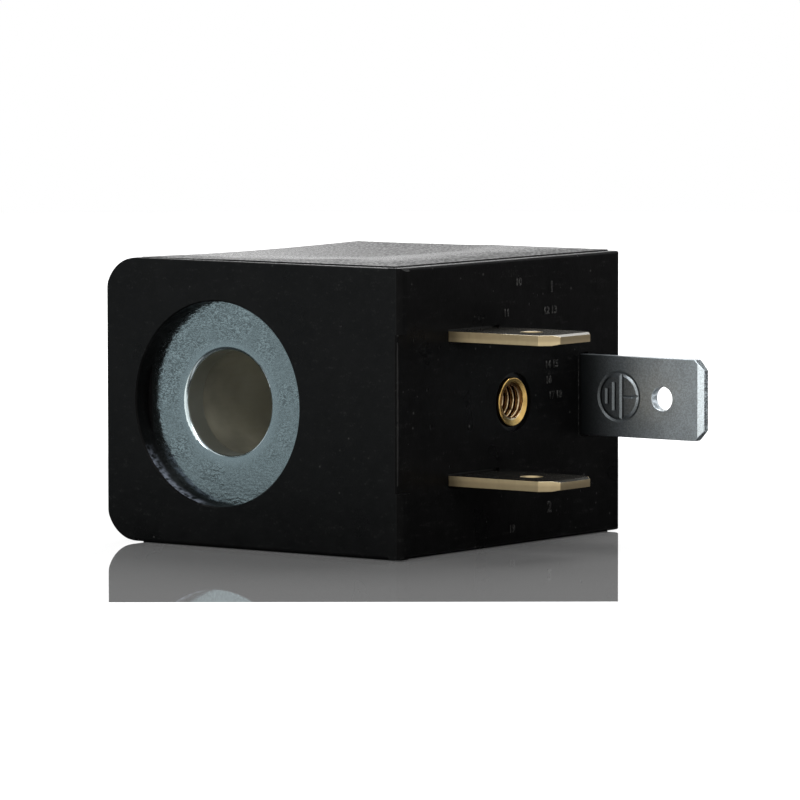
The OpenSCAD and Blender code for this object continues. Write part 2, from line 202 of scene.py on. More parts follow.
class CoilStudio(bpy.types.PropertyGroup):
    """Camera and light of the studio."""

    camera_place: FloatVectorProperty(
        name="Camera place", description="Where the camera stands", size=3, unit="LENGTH",
        default=(0.31073, -0.41105, 0.04005)
    )
    azimuth: angle_property("Azimuth", "Turn of the camera round the coil", 36.497)
    elevation: angle_property("Elevation", "Height of the camera's view", 4.5135)
    roll: angle_property("Roll", "Lean of the camera", -0.081)
    focal_mm: FloatProperty(
        name="Focal length", description="Lens in millimetres on a 36 mm sensor", default=296.65
    )
    sky: FloatProperty(name="Sky", description="Strength of the soft light from all round", default=0.55)
    key: FloatProperty(name="Key", description="Watts of the light above and behind", default=5.0)
    side: FloatProperty(name="Side", description="Watts of the light behind right", default=0.04)
    front: FloatProperty(name="Front", description="Watts of the light in front", default=0.9)
    right: FloatProperty(name="Right", description="Watts of the light in front right", default=1.0)


def feed(tree, socket, value):
    """Links an output to a socket, or sets the socket's own value."""
    if isinstance(value, bpy.types.NodeSocket):
        tree.links.new(value, socket)
    else:
        socket.default_value = value


def add(tree, kind, inputs=None, **settings):
    """A shader node with its settings, and with its inputs set or linked by name or number."""
    made = tree.nodes.new("ShaderNode" + kind)
    for name, value in settings.items():
        setattr(made, name, value)
    for name, value in (inputs or {}).items():
        feed(tree, made.inputs[name], value)
    return made


def calc(tree, operation, a, b=0.0, clamp=False):
    """The result of one sum on one or two values."""
    return add(tree, "Math", {0: a, 1: b}, operation=operation, use_clamp=clamp).outputs[0]


def times(tree, a, b):
    """The product of two values."""
    return calc(tree, "MULTIPLY", a, b)


def most(tree, a, b):
    """The larger of two values."""
    return calc(tree, "MAXIMUM", a, b)


def vector_sum(tree, operation, a, b=(0, 0, 0)):
    """The vector that comes from one or two vectors."""
    return add(tree, "VectorMath", {0: a, 1: b}, operation=operation).outputs["Vector"]


def measure(tree, operation, a, b=(0, 0, 0)):
    """The single value that comes from one or two vectors, such as a length."""
    return add(tree, "VectorMath", {0: a, 1: b}, operation=operation).outputs["Value"]


def axes_of(tree, vector):
    """The X, Y and Z of a vector."""
    return add(tree, "SeparateXYZ", {"Vector": vector}).outputs


def from_line(tree, place, plane, centre=(0, 0, 0)):
    """The distance from a line that stands square on a plane at a centre."""
    return measure(tree, "DISTANCE", vector_sum(tree, "MULTIPLY", place, plane), centre)


def ramp(tree, value, low, high, start=0.0, end=1.0):
    """A value eased from start to end as it goes from low to high."""
    sockets = {"Value": value, "From Min": low, "From Max": high, "To Min": start, "To Max": end}
    return add(tree, "MapRange", sockets, interpolation_type="SMOOTHSTEP").outputs["Result"]


def spread(tree, grain, start=0.0, end=1.0):
    """A value eased from start to end over the range that grain and streaks mostly have."""
    return ramp(tree, grain, 0.3, 0.7, start, end)


def blend(tree, factor, a, b):
    """Two colours mixed by a factor."""
    return add(tree, "Mix", {"Factor": factor, 6: a, 7: b}, data_type="RGBA").outputs[2]


def shade(colour, factor=1.0):
    """A colour with its alpha, as it is or made lighter or darker."""
    return (*(min(1.0, part * factor) for part in colour), 1.0)


def tint(tree, factor, colour, dark, light):
    """A colour that goes from one shade of itself to another by a factor."""
    return blend(tree, factor, shade(colour, dark), shade(colour, light))


def new_group(name, inputs, output):
    """An empty shader node group with its inputs, by their defaults, and its output."""
    group = bpy.data.node_groups.new(name, "ShaderNodeTree")
    for label, default in inputs.items():
        kind = "NodeSocketFloat" if isinstance(default, float) else "NodeSocketVector"
        group.interface.new_socket(label, in_out="INPUT", socket_type=kind).default_value = default
    group.interface.new_socket(output, in_out="OUTPUT", socket_type="NodeSocketFloat")
    source = group.nodes.new("NodeGroupInput")
    sink = group.nodes.new("NodeGroupOutput")
    return group, source.outputs, sink.inputs[output]


def grain_group():
    """Rounded lumps of one size, as height."""
    group, given, height = new_group(
        "Grain", {"Place": (0, 0, 0), "Size": 0.2, "Detail": 2.0}, "Height"
    )
    scale = calc(group, "DIVIDE", 1.0, given["Size"])
    sockets = {"Vector": given["Place"], "Scale": scale, "Detail": given["Detail"]}
    lumps = add(group, "TexNoise", sockets)
    group.links.new(lumps.outputs["Fac"], height)
    return group


def specks_group():
    """Small round spots in a share of the cells of a random lattice."""
    group, given, mask = new_group(
        "Specks", {"Place": (0, 0, 0), "Spacing": 1.0, "Radius": 0.1, "Share": 0.2}, "Mask"
    )
    scale = calc(group, "DIVIDE", 1.0, given["Spacing"])
    cells = add(group, "TexVoronoi", {"Vector": given["Place"], "Scale": scale})
    pick = add(group, "SeparateColor", {"Color": cells.outputs["Color"]})
    chosen = calc(group, "LESS_THAN", pick.outputs["Red"], given["Share"])
    reach = times(group, given["Radius"], calc(group, "ADD", pick.outputs["Green"], 0.3))
    spot = ramp(group, times(group, cells.outputs["Distance"], given["Spacing"]), reach, 0.0)
    group.links.new(times(group, spot, chosen), mask)
    return group


def streaks_group():
    """Long thin marks along one axis, as a mask; Stretch is how much shorter they are the other ways."""
    group, given, mask = new_group(
        "Streaks", {"Place": (0, 0, 0), "Stretch": (1, 1, 1), "Detail": 3.0}, "Mask"
    )
    place = vector_sum(group, "MULTIPLY", given["Place"], given["Stretch"])
    lines = add(group, "TexNoise", {"Vector": place, "Scale": 1.0, "Detail": given["Detail"]})
    group.links.new(lines.outputs["Fac"], mask)
    return group


FINISHES = {}
EFFECTS = {"Grain": grain_group, "Specks": specks_group, "Streaks": streaks_group}


def effect(tree, name, **values):
    """One of the shared effects placed in a material with its own values."""
    group = bpy.data.node_groups.get(name) or EFFECTS[name]()
    made = tree.nodes.new("ShaderNodeGroup")
    made.node_tree = group
    for label, value in values.items():
        feed(tree, made.inputs[label], value)
    return made.outputs[0]


def grain_height(tree, place, size, detail=3.0):
    """Lumps of a size in millimetres, as height."""
    return effect(tree, "Grain", Place=place, Size=size, Detail=detail)


def streak_mask(tree, place, stretch, detail=3.0):
    """Thin marks, as a mask."""
    return effect(tree, "Streaks", Place=place, Stretch=stretch, Detail=detail)


def new_finish(name):
    """A node material, its tree and the place on the part in millimetres."""
    material = bpy.data.materials.new(name)
    material.use_nodes = True
    tree = material.node_tree
    place = add(tree, "TexCoord").outputs["Object"]
    return material, tree, vector_sum(tree, "MULTIPLY", place, (1.0 / MM, 1.0 / MM, 1.0 / MM))


def set_surface(material, colour, roughness, normal=None, metallic=0.0, gloss=0.5):
    """Gives a material's shader its colour, roughness, normal, metal and specular level."""
    tree = material.node_tree
    shader = tree.nodes["Principled BSDF"]
    feed(tree, shader.inputs["Base Color"], colour)
    feed(tree, shader.inputs["Roughness"], roughness)
    feed(tree, shader.inputs["Metallic"], metallic)
    shader.inputs["Specular IOR Level"].default_value = gloss
    if normal:
        feed(tree, shader.inputs["Normal"], normal)
    return material


def bump(tree, height, depth_mm, under=None):
    """A normal from a height of a given depth, over another normal."""
    inputs = {"Height": height, "Distance": depth_mm * MM, "Strength": 1.0}
    if under:
        inputs["Normal"] = under
    return add(tree, "Bump", inputs).outputs["Normal"]


def moulding_finish(colours, name="moulding_finish", gloss=0.16):
    """Satin black walls of the moulding with soft mottling, fine dust, scuffs and small pits."""
    material, tree, place = new_finish(name)
    cloud = grain_height(tree, place, CLOUD)
    mottle = grain_height(tree, place, MOTTLE)
    fine = grain_height(tree, place, FINE)
    dust = effect(tree, "Specks", Place=place, Spacing=0.9, Radius=0.12, Share=0.14)
    pits = effect(tree, "Specks", Place=place, Spacing=1.7, Radius=0.2, Share=0.14)
    scuffs = streak_mask(tree, place, (1.6, 0.5, 3.0), 6.0)
    scuffed = times(tree, ramp(tree, scuffs, 0.53, 0.72), ramp(tree, fine, 0.45, 0.7))
    tone = tint(tree, mottle, colours.moulding, 0.5, 1.5)
    worn = calc(tree, "ADD", times(tree, dust, 0.32), times(tree, scuffed, 0.09), True)
    skin = bump(tree, fine, 0.006, bump(tree, mottle, 0.02))
    return set_surface(
        material,
        blend(tree, worn, tone, shade(colours.dust)),
        spread(tree, cloud, 0.27, 0.35),
        bump(tree, times(tree, pits, -1.0), 0.07, skin),
        gloss=gloss,
    )


def dull_finish(colours):
    """The moulding's duller skin on the connector face and its near edge."""
    return moulding_finish(colours, "dull_finish", gloss=0.03)


def recess_finish(colours):
    """Round walls of the recesses, painted darker than the moulding as shade, with a painted pale glint
    in streaks low on one side near the mouth.
    """
    material, tree, place = new_finish("recess_finish")
    mottle = grain_height(tree, place, MOTTLE)
    tears = streak_mask(tree, place, (3.2, 2.0, 3.2), 5.0)
    low_side = measure(tree, "DOT_PRODUCT", place, (-0.57, 0, -0.82))
    face = -FRONT_Y / MM
    mouth = ramp(tree, calc(tree, "ABSOLUTE", axes_of(tree, place)["Y"]), face - 1.2, face - 0.3)
    # Painted glint: pale streaks low on one side, near the recess mouth
    frost_and_glint = times(tree, ramp(tree, low_side, 6.7, 7.8), ramp(tree, tears, 0.36, 0.66))
    # Painted shade: the recess walls are darker than the rest of the moulding
    tone = tint(tree, mottle, colours.moulding, 0.3, 0.9)
    return set_surface(
        material,
        blend(tree, times(tree, frost_and_glint, mouth), tone, shade(colours.frost_and_glint)),
        spread(tree, tears, 0.3, 0.5),
        bump(tree, tears, 0.03, bump(tree, mottle, 0.02)),
        gloss=0.02,
    )


def marks_finish(colours):
    """Dusty edges of the moulded numbers and of the flash beside the earth blade, whose pale patchy tone
    is also a painted highlight.
    """
    material, tree, place = new_finish("marks_finish")
    fine = grain_height(tree, place, FINE)
    # Dust and painted highlight: a pale tone in patches on the raised marks
    tone = tint(tree, ramp(tree, fine, 0.48, 0.64), colours.dust, 0.04, 0.4)
    return set_surface(material, tone, spread(tree, fine, 0.4, 0.6), gloss=0.16)


def panel_finish(colours):
    """Coarse sandy skin of the raised panels above and below, smoother in a band round the sink."""
    material, tree, place = new_finish("panel_finish")
    turned = add(tree, "Mapping", {"Vector": place, "Rotation": (0, 0, -PANEL_GRAIN)}).outputs[0]
    across = axes_of(tree, turned)["X"]
    axes = axes_of(tree, place)
    sand = streak_mask(tree, turned, (5.0, 1.5, 5.0), 2.0)
    lumps = grain_height(tree, place, 1.8)
    clouds = grain_height(tree, place, CLOUD)
    past_right = calc(tree, "SUBTRACT", axes["X"], SINK_RIGHT)
    past_front = calc(tree, "SUBTRACT", SINK_FRONT, axes["Y"])
    rim = calc(tree, "ADD", most(tree, past_right, past_front), times(tree, clouds, 6.0))
    sunk = times(tree, ramp(tree, across, -8.0, 6.0), ramp(tree, rim, 2.8, -0.6))
    outer = ramp(tree, rim, 4.2, 8.2)
    right = ramp(tree, across, 1.0, 11.0)
    dull = most(tree, times(tree, sunk, 0.36), times(tree, right, 0.14))
    dull = calc(tree, "ADD", dull, times(tree, outer, 0.35))
    return set_surface(
        material,
        tint(tree, sand, colours.moulding, 0.8, 1.6),
        calc(tree, "ADD", ramp(tree, sand, 0.35, 0.65, 0.08, 0.36), dull),
        bump(tree, sand, 0.09, bump(tree, lumps, 0.05)),
        gloss=0.3,
    )


def zinc_finish(colours):
    """Bright zinc plate with fine wrinkles in patches, their light and shade painted into the colour,
    smooth round the punched bore with a painted paler sheen there.
    """
    material, tree, place = new_finish("zinc_finish")
    axes = axes_of(tree, place)
    radius = from_line(tree, place, (1, 0, 1))
    collar, outside = BORE_RADIUS + 0.15, BORE_RADIUS + 1.15
    swell = streak_mask(tree, place, (1.9, 1.9, 4.4), 2.0)
    fine = grain_height(tree, place, 0.11, 2.0)
    slant = times(tree, calc(tree, "SUBTRACT", axes["Z"], axes["X"]), 0.014)
    patches = calc(tree, "ADD", grain_height(tree, place, 2.2), slant)
    # Painted shading of the wrinkles: light and dark bands along the swells
    folds = calc(tree, "SINE", times(tree, swell, 2 * math.pi / 0.2))
    zone = times(tree, ramp(tree, radius, collar, outside), ramp(tree, patches, 0.4, 0.62, 0.3, 1.0))
    painted_wrinkle_shading = calc(tree, "ADD", times(tree, times(tree, folds, zone), 0.5), 0.5)
    # Painted sheen: a paler ring round the bore, where the plating is also smooth
    pale = ramp(tree, radius, BORE_RADIUS - 0.03, collar)
    pale = times(tree, ramp(tree, radius, outside, collar), pale)
    bore = ramp(tree, radius, BORE_RADIUS + 0.07, BORE_RADIUS + 0.01)
    tone = tint(tree, painted_wrinkle_shading, colours.zinc, 0.58, 1.36)
    grit = blend(tree, spread(tree, fine), (0.86, 0.86, 0.86, 1), (1.12, 1.12, 1.12, 1))
    tone = add(tree, "MixRGB", {0: 1.0, 1: tone, 2: grit}, blend_type="MULTIPLY").outputs[0]
    tone = blend(tree, times(tree, pale, 0.5), tone, shade(colours.bore_sheen_zinc))
    return set_surface(
        material,
        blend(tree, bore, tone, shade(colours.bore_steel)),
        most(tree, ramp(tree, zone, 0.0, 1.0, 0.1, 0.13), times(tree, bore, 0.45)),
        bump(tree, fine, 0.004, bump(tree, times(tree, swell, zone), 0.026)),
        metallic=1.0,
    )


def earth_finish(colours, sizes):
    """Duller zinc with the fine grain of rolled strip, darker over the sign and on the end faces at the
    tip, with painted shade on faces turned away and on the top and bottom edges, and a painted dark
    reflection of the moulding on the front towards the root.
    """
    material, tree, place = new_finish("earth_finish")
    along = axes_of(tree, place)["X"]
    facing = axes_of(tree, add(tree, "NewGeometry").outputs["Normal"])
    grain = grain_height(tree, place, 0.1, 1.0)
    cloud = grain_height(tree, place, 1.6, 4.0)
    # Painted reflection: the front face is painted dark near the root, standing in for the black
    # moulding that it mirrors, and fades out towards the tip
    clear_of_painted_reflection = most(tree, ramp(tree, along, FACE_X - 0.2, FACE_X + 10.3), ramp(tree, facing["Y"], -0.7, -0.3))
    from_sign = from_line(tree, place, (1, 0, 1), (FACE_X + sizes.sign_from_face / MM, 0, 0))
    ring = sizes.sign_radius / MM
    in_sign = ramp(tree, from_sign, ring + 0.2, ring - 0.1)
    stamped = times(tree, in_sign, ramp(tree, facing["Y"], 0.0, -0.2))
    # Painted shade: faces turned back towards the moulding and the top and bottom edges are painted
    # darker. The end faces at the tip are darker too, in grainy patches
    edges = ramp(tree, calc(tree, "ABSOLUTE", facing["Z"]), 0.75, 0.95)
    shaded = most(tree, ramp(tree, facing["X"], -0.1, -0.35), edges)
    end = ramp(tree, along, EARTH_TIP / MM - 1.3, EARTH_TIP / MM - 1.0)
    torn = times(tree, end, ramp(tree, calc(tree, "ABSOLUTE", facing["Y"]), 0.35, 0.1))
    shaded = most(tree, shaded, times(tree, torn, ramp(tree, grain, 0.6, 0.5)))
    tone = tint(tree, spread(tree, grain), colours.earth_zinc, 1.0, 1.4)
    tone = blend(tree, clear_of_painted_reflection, shade(colours.earth_zinc, 0.03), tone)
    tone = blend(tree, times(tree, stamped, 0.25), tone, BLACK)
    tone = blend(tree, times(tree, shaded, 0.7), tone, BLACK)
    rough = spread(tree, cloud, 0.28, 0.34)
    return set_surface(material, tone, rough, bump(tree, grain, 0.003), metallic=0.8)


def tinned_finish(colours):
    """Tinned flat sides with rolling lines; cream sheared edges, brown outside, with painted shade at
    the root and darker end faces at the tip.
    """
    material, tree, place = new_finish("tinned_finish")
    facing = axes_of(tree, add(tree, "NewGeometry").outputs["Normal"])
    axes = axes_of(tree, place)
    inner = blade_inner() / MM
    flat_side = ramp(tree, calc(tree, "ABSOLUTE", facing["Z"]), 0.8, 0.97)
    outer_half = ramp(tree, calc(tree, "ABSOLUTE", axes["Z"]), inner + 0.2, inner + 0.45)
    # Painted shade on the sheared edges where the blade leaves the moulding
    root = ramp(tree, axes["X"], FACE_X + 1.4, FACE_X)
    tip = ramp(tree, facing["X"], 0.8, 0.95)
    lines = streak_mask(tree, place, (0.3, 7.0, 7.0))
    tear = streak_mask(tree, place, (4.0, 4.0, 0.7))
    plated = tint(tree, lines, colours.tin, 0.85, 1.15)
    sheared = tint(tree, grain_height(tree, place, 0.7), colours.cut_brass, 0.85, 1.15)
    sheared = blend(tree, times(tree, outer_half, 0.4), sheared, shade(colours.cut_brown))
    sheared = blend(tree, times(tree, root, 0.6), sheared, shade(colours.cut_brown, 0.2))
    sheared = blend(tree, times(tree, tip, 0.5), sheared, shade(colours.cut_brown, 0.3))
    torn = bump(tree, times(tree, tear, calc(tree, "SUBTRACT", 1.0, flat_side)), 0.02)
    return set_surface(
        material,
        blend(tree, flat_side, sheared, plated),
        ramp(tree, flat_side, 0.0, 1.0, 0.5, 0.16),
        bump(tree, lines, 0.004, torn),
        metallic=ramp(tree, flat_side, 0.0, 1.0, 0.8, 1.0),
    )


def brass_finish(colours, sizes):
    """Turned brass with browner spots, with a painted highlight on the thread's crests and painted shade
    in its roots.
    """
    material, tree, place = new_finish("brass_finish")
    spots = grain_height(tree, place, 0.6)
    middle = (INSERT_LOW.y + INSERT_HIGH.y) / 2 / MM
    radius = from_line(tree, place, (0, 1, 1), (0, middle, 0))
    throat = (CONNECTOR_X - sizes.insert_mouth) / MM
    crest = sizes.thread_minor / MM
    deep = ramp(tree, axes_of(tree, place)["X"], throat + 0.02, throat - 0.06)
    # Painted shade: the thread's roots are painted dark brown
    root = times(tree, ramp(tree, radius, crest + 0.02, crest + 0.08), deep)
    # Painted highlight: the crests inside the hole are painted pale
    inside = ramp(tree, radius, crest + 0.2, crest + 0.1)
    tone = tint(tree, spots, colours.brass, 0.9, 1.08)
    tone = blend(tree, times(tree, inside, 0.6), tone, shade(colours.thread_crest_highlight))
    tone = blend(tree, times(tree, root, 0.9), tone, shade(colours.thread_root_shade))
    rough = spread(tree, spots, 0.18, 0.26)
    return set_surface(material, tone, rough, bump(tree, spots, 0.004), metallic=1.0)


def resin_finish(colours):
    """Satin bobbin resin with draw marks along the bore; painted light and shade make it paler deeper in
    and towards the top and darker near the mouth and low down.
    """
    material, tree, place = new_finish("resin_finish")
    marks = streak_mask(tree, place, (2.5, 0.25, 2.5), 5.0)
    axes = axes_of(tree, place)
    # Painted light and shade: paler deeper in the bore and higher up, darker near the mouth and low
    # down, evening out the light that falls in through the mouth
    deeper = ramp(tree, axes["Y"], -12.0, -2.0, -0.35, 0.7)
    higher = ramp(tree, axes["Z"], -4.0, 4.0, -0.2, 0.2)
    painted_lighting = calc(tree, "ADD", calc(tree, "ADD", deeper, grain_height(tree, place, 3.0)), higher)
    tone = tint(tree, painted_lighting, colours.bobbin, 0.45, 1.6)
    return set_surface(material, tone, spread(tree, marks, 0.55, 0.7), bump(tree, marks, 0.008))


def wire_finish(colours):
    """Enamelled copper with the ridges of wound turns along the bore."""
    material, tree, place = new_finish("wire_finish")
    turn = calc(tree, "SINE", times(tree, axes_of(tree, place)["Y"], 2 * math.pi / WIRE_TURN))
    cloud = grain_height(tree, place, 1.5)
    tone = tint(tree, cloud, colours.copper, 0.75, 1.2)
    rough = spread(tree, cloud, 0.25, 0.4)
    return set_surface(material, tone, rough, bump(tree, turn, 0.06), metallic=0.9)


def tape_finish(colours):
    """Thin glossy film with soft wrinkles."""
    material, tree, place = new_finish("tape_finish")
    wrinkles = streak_mask(tree, place, (0.6, 0.15, 0.6), 4.0)
    tone = tint(tree, wrinkles, colours.tape, 0.8, 1.15)
    return set_surface(material, tone, spread(tree, wrinkles, 0.18, 0.3), bump(tree, wrinkles, 0.05))


def solder_finish(colours):
    """Bright solder, frosted in patches."""
    material, tree, place = new_finish("solder_finish")
    frost_and_glint = grain_height(tree, place, 0.5, 4.0)
    tone = tint(tree, frost_and_glint, colours.solder, 0.85, 1.1)
    rough = ramp(tree, frost_and_glint, 0.35, 0.65, 0.2, 0.42)
    return set_surface(material, tone, rough, bump(tree, frost_and_glint, 0.03), metallic=1.0)


def finish_from(make):
    """A finish, made the first time that it is asked for."""
    if make not in FINISHES:
        FINISHES[make] = make(bpy.context.scene.coil_colours)
    return FINISHES[make]


def dress(node, *materials):
    """Gives a solid from the frame its finishes."""
    solid = NODES[node]
    solid.data.materials.clear()
    for material in materials:
        solid.data.materials.append(material)
    return solid


def new_object(name, data):
    """An object in the scene."""
    made = bpy.data.objects.new(name, data)
    bpy.context.scene.collection.objects.link(made)
    return made


def new_piece(name, mesh, material):
    """An object of the part that rides with the body and takes its finish from a slot."""
    piece = new_object(name, mesh)
    mesh.materials.clear()
    mesh.materials.append(material)
    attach(piece, BODY)
    return piece


def mesh_from(name, build, smooth_angle=None):
    """A mesh filled by a function, with faces turned outwards and shaded smooth up to an angle."""
    shape = bmesh.new()
    build(shape)
    bmesh.ops.recalc_face_normals(shape, faces=shape.faces)
    mesh = bpy.data.meshes.new(name)
    shape.to_mesh(mesh)
    shape.free()
    if smooth_angle:
        mesh.shade_smooth()
        mesh.set_sharp_from_angle(angle=smooth_angle)
    return mesh


def soften(solid, width):
    """Rounds the stamped edges of a solid by a small radius."""
    weld = solid.modifiers.new("join_faces", "WELD")
    weld.merge_threshold = 0.1 * HAIR
    edge = solid.modifiers.new("edge", "BEVEL")
    edge.width = width
    edge.segments = 2
    edge.limit_method = "ANGLE"
    edge.angle_limit = math.radians(30)
    edge.harden_normals = True


def ring_strip(shape, rings):
    """Faces between neighbouring closed rings of vertices."""
    for low, high in zip(rings, rings[1:]):
        count = len(low)
        for i in range(count):
            j = (i + 1) % count
            shape.faces.new((low[i], low[j], high[j], high[i]))


def blade_front():
    """The front face of the earth blade outside the body."""
    solid = NODES["earth_terminal"].data
    return min(vertex.co.y for vertex in solid.vertices if vertex.co.x > CONNECTOR_X)


def blade_inner():
    """The side of a power blade that faces the other one, outside the body."""
    solid = NODES["power_terminal_1"].data
    return min(abs(vertex.co.z) for vertex in solid.vertices if vertex.co.x > CONNECTOR_X + MM)


class COIL_OT_housing(bpy.types.Operator):
    """Finishes the black moulding"""

    bl_idname = "coil.housing"
    bl_label = "Housing"

    def execute(self, context):
        skins = (moulding_finish, panel_finish, dull_finish, recess_finish)
        housing = dress("housing", *(finish_from(skin) for skin in skins))
        for face in housing.data.polygons:
            face.material_index = skins.index(self.skin(face))
        return {"FINISHED"}

    def skin(self, face):
        """Which finish a face has: panel, round wall of a recess, duller connector face or wall."""
        middle, facing = face.center, face.normal
        level, square, slanted, along_bore = 0.97, 0.9, 0.15, 0.3
        if abs(facing.z) > level and abs(middle.z) > HOUSING_HIGH.z - PANEL_STEP:
            return panel_finish
        from_axis = math.hypot(middle.x, middle.z)
        if abs(facing.y) < along_bore and from_axis < RECESS_REACH and abs(middle.y) > YOKE_REAR:
            return recess_finish
        connector = facing.x > square and middle.x > CONNECTOR_X - HAIR
        near_edge = facing.x > slanted and facing.y < -slanted
        return dull_finish if connector or near_edge else moulding_finish


class COIL_OT_mould_marks(bpy.types.Operator):
    """Adds the flash on the near edge and beside the earth blade, and plain moulded numbers"""

    bl_idname = "coil.mould_marks"
    bl_label = "Mould Marks"

    stations: IntProperty(name="Stations", description="Points along the flash", default=90)

    def execute(self, context):
        sizes = context.scene.coil_sizes
        edge = FRONT_Y + 0.05 * MM
        slot = blade_front() - sizes.slot_gap
        self.flash("mould_flash", edge, 5.4 * MM, sizes.flash_height, finish_from(moulding_finish))
        self.flash("slot_flash", slot, 3.2 * MM, sizes.numeral_relief, finish_from(marks_finish))
        for text, y, z, share in NUMBERS:
            self.number(context, text, (y * MM, z * MM), share * sizes.numeral_height, sizes)
        return {"FINISHED"}

    def flash(self, name, edge, reach, height, finish):
        """A ridge of flash that reaches as far up as down."""
        mesh = mesh_from(name, lambda shape: self.ridge(shape, edge, reach, height))
        new_piece(name, mesh, finish)

    def ridge(self, shape, edge, reach, height):
        """A ragged ridge up the connector face from an edge, highest in the middle."""
        foot = 0.16 * MM
        sway = 0.03 * MM
        sections = []
        for i in range(self.stations):
            z = reach * (2 * i / (self.stations - 1) - 1)
            rag = 0.35 + 0.65 * abs(noise.noise(Vector((0.0, 0.0, z / MM * 2.3))))
            swell = 1.0 - (z / reach) ** 2
            top = CONNECTOR_X + height * rag * swell + 0.2 * HAIR
            lean = sway * noise.noise(Vector((7.0, 0.0, z / MM * 1.7)))
            corners = (
                (CONNECTOR_X - foot, edge, z), (CONNECTOR_X - foot, edge + foot, z),
                (top, edge + 0.5 * foot + lean, z), (top - HAIR, edge + 0.3 * foot + lean, z),
            )
            sections.append([shape.verts.new(corner) for corner in corners])
        ring_strip(shape, sections)
        shape.faces.new(sections[0])
        shape.faces.new(list(reversed(sections[-1])))

    def number(self, context, text, place, height, sizes):
        """A raised number on the connector face, at a place along and up it."""
        lettering = bpy.data.curves.new("number", "FONT")
        lettering.body = text
        lettering.size = height
        lettering.extrude = sizes.numeral_relief / 2
        lettering.bevel_depth = sizes.numeral_relief / 2
        lettering.bevel_resolution = 1
        lettering.align_x = "CENTER"
        lettering.align_y = "CENTER"
        writer = new_object("number_writer", lettering)
        evaluated = writer.evaluated_get(context.evaluated_depsgraph_get())
        mesh = bpy.data.meshes.new_from_object(evaluated)
        bpy.data.objects.remove(writer)
        upright = Matrix(((0, 0, 1), (1, 0, 0), (0, 1, 0))).to_4x4()
        mesh.transform(Matrix.Translation((CONNECTOR_X, *place)) @ upright)
        new_piece("number_" + text.replace(" ", "_"), mesh, finish_from(marks_finish))


class COIL_OT_yoke(bpy.types.Operator):
    """Finishes the zinc-plated yoke and the rivet that carries the earth terminal"""

    bl_idname = "coil.yoke"
    bl_label = "Yoke"

    def execute(self, context):
        for node in ("yoke", "earth_rivet"):
            dress(node, finish_from(zinc_finish))
        return {"FINISHED"}


class COIL_OT_winding(bpy.types.Operator):
    """Finishes the bobbin, the winding and its tape, leads and solder"""

    bl_idname = "coil.winding"
    bl_label = "Bobbin and Winding"

    def execute(self, context):
        dress("bobbin", finish_from(resin_finish))
        for node in ("winding", "start_lead", "finish_lead"):
            dress(node, finish_from(wire_finish))
        dress("winding_tape", finish_from(tape_finish))
        dress("solder_joints", finish_from(solder_finish))
        return {"FINISHED"}


class COIL_OT_power_terminals(bpy.types.Operator):
    """Finishes the two tinned power blades and rounds their stamped edges"""

    bl_idname = "coil.power_terminals"
    bl_label = "Power Terminals"

    def execute(self, context):
        for node in ("power_terminal_1", "power_terminal_2"):
            blade = dress(node, finish_from(tinned_finish))
            soften(blade, context.scene.coil_sizes.blade_edge)
        return {"FINISHED"}


class COIL_OT_earth_terminal(bpy.types.Operator):
    """Finishes the earth blade and stamps the earth sign into its front"""

    bl_idname = "coil.earth_terminal"
    bl_label = "Earth Terminal"

    def execute(self, context):
        sizes = context.scene.coil_sizes
        blade = dress("earth_terminal", earth_finish(context.scene.coil_colours, sizes))
        soften(blade, sizes.blade_edge)
        mesh = mesh_from("earth_stamp", lambda shape: self.stamp(shape, sizes))
        stamp = new_object("earth_stamp", mesh)
        stamp.hide_render = True
        stamp.hide_viewport = True
        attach(stamp, BODY)
        cut = blade.modifiers.new("earth_sign", "BOOLEAN")
        cut.operation = "DIFFERENCE"
        cut.solver = "EXACT"
        cut.use_self = True
        cut.object = stamp
        return {"FINISHED"}

    def stamp(self, shape, sizes):
        """The earth sign turned so that its stem points to the blade's tip."""
        centre = Vector((CONNECTOR_X + sizes.sign_from_face, blade_front(), 0.0))
        self.ring(shape, centre, sizes)
        for offset, length in SIGN_BARS:
            ends = [Vector((offset * MM, 0, side * length * MM / 2)) for side in (-1, 1)]
            self.bar(shape, centre, ends, sizes.sign_line, sizes)
        stem = [Vector((x * MM, 0, 0)) for x in STEM_POINTS]
        stem.append(Vector((sizes.sign_radius, 0, STEM_LEAN * MM)))
        for ends in zip(stem, stem[1:]):
            self.bar(shape, centre, ends, STEM_SHARE * sizes.sign_line, sizes)

    def groove(self, width, sizes):
        """Corners of a stamped line's section, across it and into the blade, narrower at its bottom."""
        depth = sizes.sign_depth
        bottom = 0.06 * width
        mouth = width - bottom
        return ((-mouth, -depth), (mouth, -depth), (bottom, depth), (-bottom, depth))

    def bar(self, shape, centre, ends, width, sizes):
        """A straight stamped line."""
        along = (ends[1] - ends[0]).normalized()
        side = Vector((along.z, 0, -along.x))
        sections = [
            [shape.verts.new(centre + end + side * across + Vector((0, inward, 0)))
             for across, inward in self.groove(width, sizes)]
            for end in ends
        ]
        ring_strip(shape, sections)
        for section in sections:
            shape.faces.new(section)

    def ring(self, shape, centre, sizes, count=64):
        """The round stamped line."""
        rings = []
        for i in range(count):
            turn = 2 * math.pi * i / count
            out = Vector((math.cos(turn), 0, math.sin(turn)))
            rings.append([
                shape.verts.new(centre + out * (sizes.sign_radius + across) + Vector((0, inward, 0)))
                for across, inward in self.groove(sizes.sign_line, sizes)
            ])
        ring_strip(shape, rings + rings[:1])


